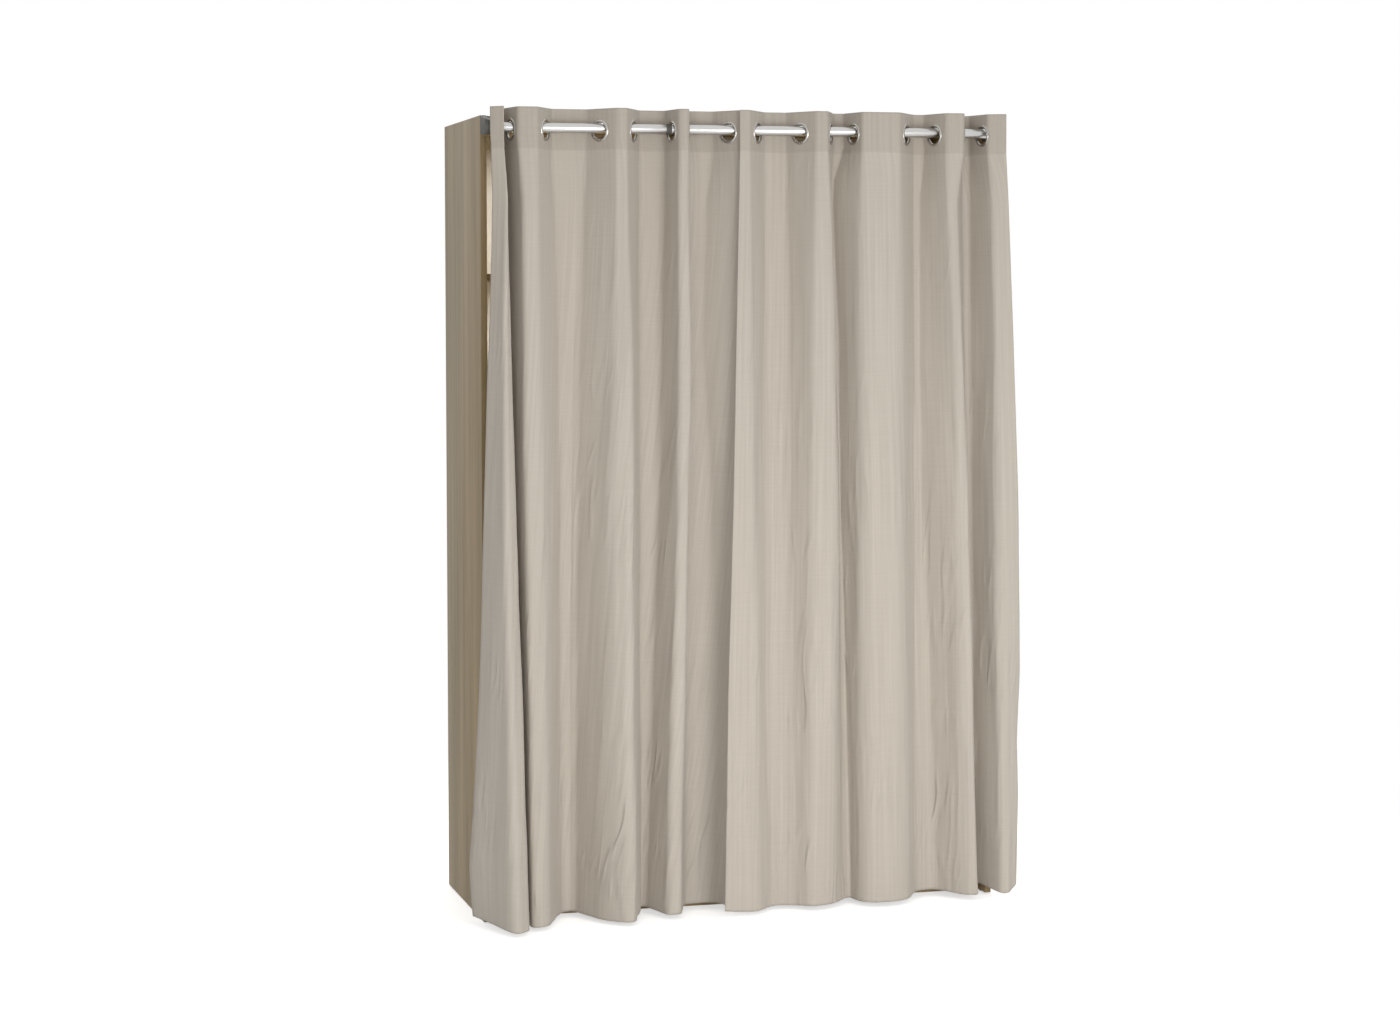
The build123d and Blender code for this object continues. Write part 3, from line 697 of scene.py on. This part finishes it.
cloth = clothMaterial("woven cotton mix, beige")
thread = speckled("spun polyester thread, beige", "#ADA597", 0.7, 1.2, ("#A49C8F", "#B7AFA2"))
for curtain in (leftCurtain, rightCurtain):
    grid, walks, levels = clothGrid(curtain)
    lengths = walks[0]
    piece = place(curtain["name"], clothMesh(curtain, grid, walks, levels))
    area = sum(face.area for face in piece.data.polygons)
    print(curtain["name"], "area", round(area, 3), "width", round(lengths[-1]))
    applyModifier(piece, "SOLIDIFY", thickness=drape["thick"] * mm, offset=0.0)
    settle(piece, curtain["name"], "wardrobe", "curtain_fabric", cloth, curtain["node"])
    seams = place(curtain["name"], stitchMesh(curtain, grid, lengths, levels))
    settle(seams, curtain["name"] + "_stitches", "wardrobe", "curtain_fabric", thread)
    for soft in (piece, seams):
        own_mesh(soft)
print("curtains hung")


# a shape turned about Z from its profile of (radius, height) in mm; ends on the axis are closed
def turned(name, profile, steps, closed=False):
    mesh = bpy.data.meshes.new(name)
    edges = [(i, i + 1) for i in range(len(profile) - 1)]
    if closed:
        edges.append((len(profile) - 1, 0))
    mesh.from_pydata([(r * mm, 0, h * mm) for r, h in profile], edges, [])
    piece = place(name, mesh)
    bpy.ops.object.mode_set(mode="EDIT")
    bpy.ops.mesh.select_all(action="SELECT")
    bpy.ops.mesh.spin(steps=steps, angle=math.tau, center=(0, 0, 0), axis=(0, 0, 1))
    bpy.ops.object.mode_set(mode="OBJECT")
    tidyShell()
    bpy.ops.object.shade_smooth_by_angle(angle=smoothAngle)
    return piece


# a cross recess driven into the top of a turned head
def crossCut(piece, top, long, wide, deep):
    cutters = []
    for size in ((long, wide), (wide, long)):
        looseSelection()
        bpy.ops.mesh.primitive_cube_add(size=1, location=(0, 0, top * mm))
        cutter = bpy.context.object
        bpy.ops.transform.resize(value=(size[0] * mm, size[1] * mm, 2 * deep * mm))
        bpy.ops.object.transform_apply(location=True, rotation=True, scale=True)
        cutters.append(cutter)
    for cutter in cutters:
        applyModifier(piece, "BOOLEAN", operation="DIFFERENCE", solver="EXACT", object=cutter)
        bpy.data.objects.remove(cutter)
    return piece


# copies of one pattern at their places, joined into one piece; the pattern itself goes
def scatter(pattern, name, spots):
    copies = []
    for spot in spots:
        mesh = pattern.data.copy()
        mesh.transform(spot)
        copies.append(bpy.data.objects.new(name, mesh))
        bpy.context.scene.collection.objects.link(copies[-1])
    bpy.data.objects.remove(pattern)
    looseSelection()
    for copy in copies:
        copy.select_set(True)
    bpy.context.view_layer.objects.active = copies[0]
    if len(copies) > 1:
        bpy.ops.object.join()
    return bpy.context.view_layer.objects.active


# a frame at a point in mm whose Z looks along the way given
def facing(point, way):
    turn = Vector(way).to_track_quat("Z", "Y").to_matrix().to_4x4()
    turn.translation = Vector(point) * mm
    return turn


# eyelets: a pressed ring in front with a rolled lip, its neck through the cloth, a flatter ring behind
eyeletShape = {"steps": 56, "profile": (
    (21.05, 0.0), (21.1, 0.9), (21.35, 1.75), (21.85, 2.55), (22.6, 3.15), (23.5, 3.45), (24.5, 3.5),
    (25.6, 3.25), (26.6, 2.7), (27.4, 1.95), (27.9, 1.25), (27.3, 1.05), (24.6, 0.95), (24.0, 0.75),
    (24.0, -0.75), (24.6, -0.95), (27.2, -1.05), (27.8, -1.3), (27.3, -1.95), (26.0, -2.5), (24.4, -2.85),
    (23.1, -2.9), (22.1, -2.5), (21.45, -1.8), (21.1, -0.9),
)}
pattern = turned("eyelet", eyeletShape["profile"], eyeletShape["steps"], closed=True)
for curtain in (leftCurtain, rightCurtain):
    for number, spot in enumerate(eyeletPlaces(curtain), start=1):
        piece = place("eyelet", pattern.data.copy())
        piece.data.transform(spot)
        node = f"eyelet_{curtain['hand']}_{number}"
        body = "wardrobe" if number == curtain["fixedEyelet"] else f"{curtain['hand']}_eyelet_{number}"
        settle(piece, node + "_ring", body, "eyelet_metal", nickel, node)
bpy.data.objects.remove(pattern)
print("eyelets threaded")


# a length of tube along X with eased rims
tubeShape = {"sides": 72, "rim": 0.3, "rimAngle": 60}


def tubeAlong(start, stop, y, z, radius, wall):
    looseSelection()
    bpy.ops.mesh.primitive_cylinder_add(
        vertices=tubeShape["sides"], radius=radius * mm, depth=(stop - start) * mm, end_fill_type="NOTHING",
        location=((start + stop) / 2 * mm, y * mm, z * mm), rotation=(0, math.pi / 2, 0),
    )
    piece = bpy.context.object
    bpy.ops.object.transform_apply(location=True, rotation=True, scale=True)
    applyModifier(piece, "SOLIDIFY", thickness=wall * mm, offset=-1.0)
    applyModifier(
        piece, "BEVEL", width=tubeShape["rim"] * mm, segments=2, limit_method="ANGLE",
        angle_limit=math.radians(tubeShape["rimAngle"]),
    )
    bpy.ops.object.shade_smooth_by_angle(angle=smoothAngle)
    return piece


# the curtain rod: two satin lengths that meet on a grey coupling with a shallow groove round its collar
rod = {
    "radius": 12.5, "wall": 1.5, "end": 675.5, "couplingX": -210.0, "collar": 7.0, "steps": 64,
    "sleeve": (
        (0, -47), (9.6, -47), (10.4, -46), (10.4, -7), (11.9, -7), (12.5, -6.4), (12.5, -0.5),
        (12.2, -0.25), (12.2, 0.25), (12.5, 0.5), (12.5, 6.4), (11.9, 7), (10.4, 7), (10.4, 46),
        (9.6, 47), (0, 47),
    ),
}
rodY = frontY - carcass["rodReach"]
for hand, start, stop in (
    ("left", -rod["end"], rod["couplingX"] - rod["collar"]),
    ("right", rod["couplingX"] + rod["collar"], rod["end"]),
):
    node = f"rod_tube_{hand}"
    tube = tubeAlong(start, stop, rodY, carcass["rodZ"], rod["radius"], rod["wall"])
    settle(tube, node + "_satin", "wardrobe", "rod_metal", satinChrome, node)
sleeve = turned("rod coupling", rod["sleeve"], rod["steps"])
sleeve.data.transform(facing((rod["couplingX"], rodY, carcass["rodZ"]), (1, 0, 0)))
settle(sleeve, "rod_coupling_sleeve", "wardrobe", "bracket_plastic", greyPlastic, "rod_coupling")

# the rail of the hanging space in its two sockets
rail = {"endGap": 3.3, "y": 13.5, "z": 1560.0, "radius": 12.5, "wall": 1.2}
start, stop = dividerRight + rail["endGap"], innerX - rail["endGap"]
tube = tubeAlong(start, stop, rail["y"], rail["z"], rail["radius"], rail["wall"])
settle(tube, "hanging_rail_satin", "wardrobe", "rod_metal", satinChrome, "hanging_rail")
socket = {"steps": 48, "profile": (
    (3.7, 0.1), (3.7, 3.0), (12.8, 3.0), (12.8, 14.6), (13.2, 15.0), (15.4, 15.0), (15.8, 14.6),
    (15.8, 4.4), (17.0, 3.2), (19.3, 3.0), (19.9, 2.4), (19.9, 0.4), (19.5, 0.1),
)}
spots = [
    facing((dividerRight, rail["y"], rail["z"]), (1, 0, 0)),
    facing((innerX, rail["y"], rail["z"]), (-1, 0, 0)),
]
piece = scatter(turned("socket", socket["profile"], socket["steps"], closed=True), "rail sockets", spots)
settle(piece, "rail_sockets_moulded", "wardrobe", "bracket_plastic", darkPlastic, "rail_sockets")

# sunk screws: cross recess, flat countersunk head and a rolled thread
screw = {
    "head": [(0, 0), (3.3, 0), (3.6, -0.25), (3.6, -0.5), (1.75, -1.85)],
    "point": [(1.2, -13.2), (0, -14.0)],
    "crest": 1.75, "root": 1.35, "threadTop": 2.4, "threadStep": 0.6, "turns": 18, "steps": 28,
    "recess": (4.0, 0.9, 1.3), "seat": 3.0,  # plastic under the heads
    "bracketRow": -237.0, "bracketHeights": (1993.0, 2015.0), "wall": (450.0, 230.0, 2032.0),
}
screwThread = [
    (screw["crest"] if k % 2 else screw["root"], -screw["threadTop"] - screw["threadStep"] * k)
    for k in range(screw["turns"])
]
pattern = turned("screw", screw["head"] + screwThread + screw["point"], screw["steps"])
seatX = innerX - screw["seat"]
spots = [
    facing((side * seatX, screw["bracketRow"], z), (-side, 0, 0))
    for side in (-1, 1) for z in screw["bracketHeights"]
]
spots.append(facing((dividerRight + screw["seat"], rail["y"], rail["z"]), (1, 0, 0)))
spots.append(facing((seatX, rail["y"], rail["z"]), (-1, 0, 0)))
wallX, wallY, wallZ = screw["wall"]
spots += [facing((side * wallX, wallY, wallZ), (0, 0, 1)) for side in (-1, 1)]
piece = scatter(crossCut(pattern, 0, *screw["recess"]), "screws", spots)
settle(piece, "fixing_screws_cross", "wardrobe", "zinc_fittings", zinc, "fixing_screws")

# cams: die-cast, with a rim and a cross recess; the side that takes the bolt is inside the board, and plain
cam = {
    "profile": ((0, 12), (7.1, 12), (7.5, 11.6), (7.5, 0.5), (7.1, 0), (6.3, 0), (6.0, 0.35), (0, 0.35)),
    "steps": 32, "face": 0.35, "recess": (7.5, 1.6, 2.4), "inset": 34.0, "rows": (-160.0, 187.0),
}
pattern = turned("cam", cam["profile"], cam["steps"])
pattern.data.transform(Matrix.Rotation(math.pi, 4, "X"))
crossCut(pattern, -cam["face"], *cam["recess"])
spots = [
    facing((side * (innerX - cam["inset"]), y, under), (0, 0, -1))
    for under in (carcass["height"] - carcass["board"], carcass["plinth"])
    for side in (-1, 1) for y in cam["rows"]
]
piece = scatter(pattern, "cams", spots)
settle(piece, "cams_cast", "wardrobe", "zinc_fittings", zinc, "cams")

# shelf pins with a collar against the board
pin = {
    "profile": (
        (0, -7.4), (2.1, -7.4), (2.5, -7.0), (2.5, -0.3), (2.9, 0.1), (2.9, 0.9), (2.5, 1.1), (2.5, 7.0),
        (2.1, 7.5), (0, 7.5),
    ),
    "steps": 20, "rows": (-180.0, 207.0), "drop": 2.7, "levels": (1620.0, 1240.0, 860.0, 470.0),
}
hatLevel = pin["levels"][:1]
spots = []
for x, way, levels in (
    (-innerX, 1, pin["levels"]), (dividerLeft, -1, pin["levels"]),
    (dividerRight, 1, hatLevel), (innerX, -1, hatLevel),
):
    spots += [facing((x, y, level - pin["drop"]), (way, 0, 0)) for y in pin["rows"] for level in levels]
piece = scatter(turned("pin", pin["profile"], pin["steps"]), "pins", spots)
settle(piece, "shelf_pins_turned", "wardrobe", "zinc_fittings", zinc, "shelf_pins")

# round glides, four under the sides and one in the middle
glide = {
    "profile": ((0, 0), (6.0, 0), (6.8, 0.6), (7.0, 1.4), (7.0, 3.0), (0, 3.0)), "steps": 28,
    "rows": (-205.0, 202.0),
}
spots = [facing((0, 0, 0), (0, 0, 1))]
spots += [facing((side * sideMiddleX, y, 0), (0, 0, 1)) for side in (-1, 1) for y in glide["rows"]]
piece = scatter(turned("glide", glide["profile"], glide["steps"]), "glides", spots)
settle(piece, "foot_glides_moulded", "wardrobe", "trim_plastic", darkPlastic, "foot_glides")
print("rod, rail and fittings made")


# a merged copy of a solid with its edges eased by a narrow round; widths in mm, angles in degrees
easing = {"board": 0.7, "bracket": 0.8, "back": 0.25, "plate": 0.4, "flatAngle": 1, "edgeAngle": 40}


def eased(node, name, slot, material, width, segments=2):
    piece = place(name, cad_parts[node].data.copy())
    bpy.ops.object.mode_set(mode="EDIT")
    bpy.ops.mesh.select_all(action="SELECT")
    bpy.ops.mesh.remove_doubles(threshold=mergeGap)
    bpy.ops.mesh.dissolve_limited(angle_limit=math.radians(easing["flatAngle"]))
    bpy.ops.object.mode_set(mode="OBJECT")
    bpy.ops.object.shade_smooth()
    applyModifier(
        piece, "BEVEL", width=width * mm, segments=segments, limit_method="ANGLE",
        angle_limit=math.radians(easing["edgeAngle"]), harden_normals=True,
    )
    return settle(piece, name, "wardrobe", slot, material, node)


boards = {
    "upright": ("side_panel_left", "side_panel_right", "divider"),
    "level": (
        "top_panel", "base_panel", "plinth_front", "plinth_rear", "base_support",
        "hat_shelf", "upper_shelf", "shelf_1", "shelf_2", "shelf_3",
    ),
}
for grain, material in (("upright", uprightBoard), ("level", levelBoard)):
    for node in boards[grain]:
        eased(node, node + "_board", "board", material, easing["board"])
for hand in ("left", "right"):
    bracket = f"rod_bracket_{hand}"
    eased(bracket, bracket + "_moulded", "bracket_plastic", greyPlastic, easing["bracket"], 3)
    back = eased(f"back_{hand}", f"back_{hand}_board", "back_board", creamBack, easing["back"], 1)
    back.data.materials.append(fibreBack)
    for side in back.data.polygons:
        side.material_index = 1 if side.normal.y > 0.5 else 0
eased("wall_brackets", "wall_brackets_pressed", "zinc_fittings", zinc, easing["plate"])

# nails through the back boards into the edges of the sides, divider, top and base
nail = {
    "profile": ((0, 0.7), (1.3, 0.6), (2.2, 0.25), (2.4, 0.0), (0.7, -0.1), (0.7, -12), (0, -13)),
    "steps": 14, "pitch": 155.0, "fromSeam": 4.0,
}
high = carcass["height"] - halfBoard
low = carcass["plinth"] + halfBoard
rows = round((high - low) / nail["pitch"])
heights = [low + (high - low) * k / rows for k in range(rows + 1)]
backSpans = (
    (-sideMiddleX, carcass["dividerX"] - nail["fromSeam"]),
    (carcass["dividerX"] + nail["fromSeam"], sideMiddleX),
)
spots = [(x, z) for span in backSpans for x in span for z in heights]
for start, stop in backSpans:
    count = round((stop - start) / nail["pitch"])
    spots += [(start + (stop - start) * k / count, z) for k in range(1, count) for z in (low, high)]
pattern = turned("nail", nail["profile"], nail["steps"])
piece = scatter(pattern, "nails", [facing((x, -frontY, z), (0, 1, 0)) for x, z in spots])
settle(piece, "back_nails", "wardrobe", "zinc_fittings", zinc)

for node, material in (("cam_bolts", zinc), ("dowels", beech)):
    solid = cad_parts[node]
    solid.data.materials.clear()
    solid.data.materials.append(material)
print("carcass finished")

# studio: a pale floor that is white away from the object and keeps its shadow close to it
studio = {
    "floor": "#F4F3F1", "roughness": 0.9, "size": 40.0, "cuts": 9, "glow": 0.58, "shadowReach": (1.3, 2.6),
    "ambient": 0.55,
}
looseSelection()
bpy.ops.mesh.primitive_plane_add(size=studio["size"], location=(0, 0, 0))
floor = bpy.context.object
floor.name = "floor"
bpy.ops.object.mode_set(mode="EDIT")
bpy.ops.mesh.subdivide(number_cuts=studio["cuts"])
bpy.ops.object.mode_set(mode="OBJECT")
pale, paleShader = newMaterial("painted studio floor", studio["floor"], studio["roughness"])
path = add(pale, "LightPath")
mirrors = add(pale, "Math", {"operation": "MAXIMUM"}, _0=path.outputs["Is Glossy Ray"],
              _1=path.outputs["Is Transmission Ray"])
where = add(pale, "TexCoord")
away = add(pale, "VectorMath", {"operation": "LENGTH"}, _0=where.outputs["Object"])
near, far = studio["shadowReach"]
outside = add(pale, "MapRange", {"interpolation_type": "SMOOTHSTEP"}, Value=away.outputs["Value"],
              From_Min=near, From_Max=far)
glow = add(pale, "Emission", Strength=studio["glow"])
lit = add(pale, "AddShader", _0=paleShader.outputs[0], _1=glow.outputs[0])
white = add(pale, "Emission", Strength=1.0)
seen = add(pale, "MixShader", _0=outside.outputs["Result"], _1=lit.outputs[0], _2=white.outputs[0])
byCamera = path.outputs["Is Camera Ray"]
shown = add(pale, "MixShader", _0=byCamera, _1=paleShader.outputs[0], _2=seen.outputs[0])
final = add(pale, "MixShader", _0=mirrors.outputs[0], _1=shown.outputs[0], _2=white.outputs[0])
join(pale, final.outputs[0], pale.node_tree.nodes["Material Output"].inputs["Surface"])
floor.data.materials.append(pale)

world = bpy.data.worlds.new("studio")
bpy.context.scene.world = world
world.use_nodes = True
ambient = world.node_tree.nodes["Background"]
ambient.inputs["Color"].default_value = (1, 1, 1, 1)
ambient.inputs["Strength"].default_value = studio["ambient"]
skyPath = add(world, "LightPath")
skyMirrors = add(world, "Math", {"operation": "MAXIMUM"}, _0=skyPath.outputs["Is Glossy Ray"],
                 _1=skyPath.outputs["Is Transmission Ray"])
skySeen = add(world, "Math", {"operation": "MAXIMUM"}, _0=skyPath.outputs["Is Camera Ray"],
              _1=skyMirrors.outputs[0])
skyWhite = add(world, "Background", Color=(1, 1, 1, 1), Strength=1.0)
sky = add(world, "MixShader", _0=skySeen.outputs[0], _1=ambient.outputs[0], _2=skyWhite.outputs[0])
join(world, sky.outputs[0], world.node_tree.nodes["World Output"].inputs["Surface"])

# broad soft lamps outside, aimed near the middle, and a little light in the upper compartments
lamps = {
    "key lamp": ((1.3, -5.8, 1.2), 30.0, 2.4), "front lamp": ((-2.6, -5.8, 1.0), 18.5, 2.0),
    "low lamp": ((0.5, -3.5, 0.6), 6.5, 1.1), "rear lamp": ((0.5, 4.0, 3.0), 30.0, 2.5),
    "shelf lamp": ((-0.44, -0.1, 1.95), 3.0, 0.12), "lower shelf lamp": ((-0.44, -0.1, 1.58), 3.0, 0.12),
    "rail lamp": ((0.24, -0.1, 1.9), 2.0, 0.3),
}
# how each kind spreads its light, in degrees, and the share of its own X that it is aimed at
lampAim = {"outside": (100, 0.2), "inside": (180, 1.0), "height": 0.7, "specular": 0.35}
for name, (spot, power, size) in lamps.items():
    spread, share = lampAim["outside" if size > 1 else "inside"]
    lamp = bpy.data.objects.new(name, bpy.data.lights.new(name, "AREA"))
    bpy.context.scene.collection.objects.link(lamp)
    lamp.data.energy = power
    lamp.data.size = size
    lamp.data.specular_factor = lampAim["specular"]
    lamp.data.spread = math.radians(spread)
    lamp.location = spot
    aim = Vector((spot[0] * share, 0, lampAim["height"]))
    lamp.rotation_euler = (aim - Vector(spot)).to_track_quat("-Z", "Y").to_euler()

bpy.context.scene.view_settings.view_transform = "Standard"
print("finished")
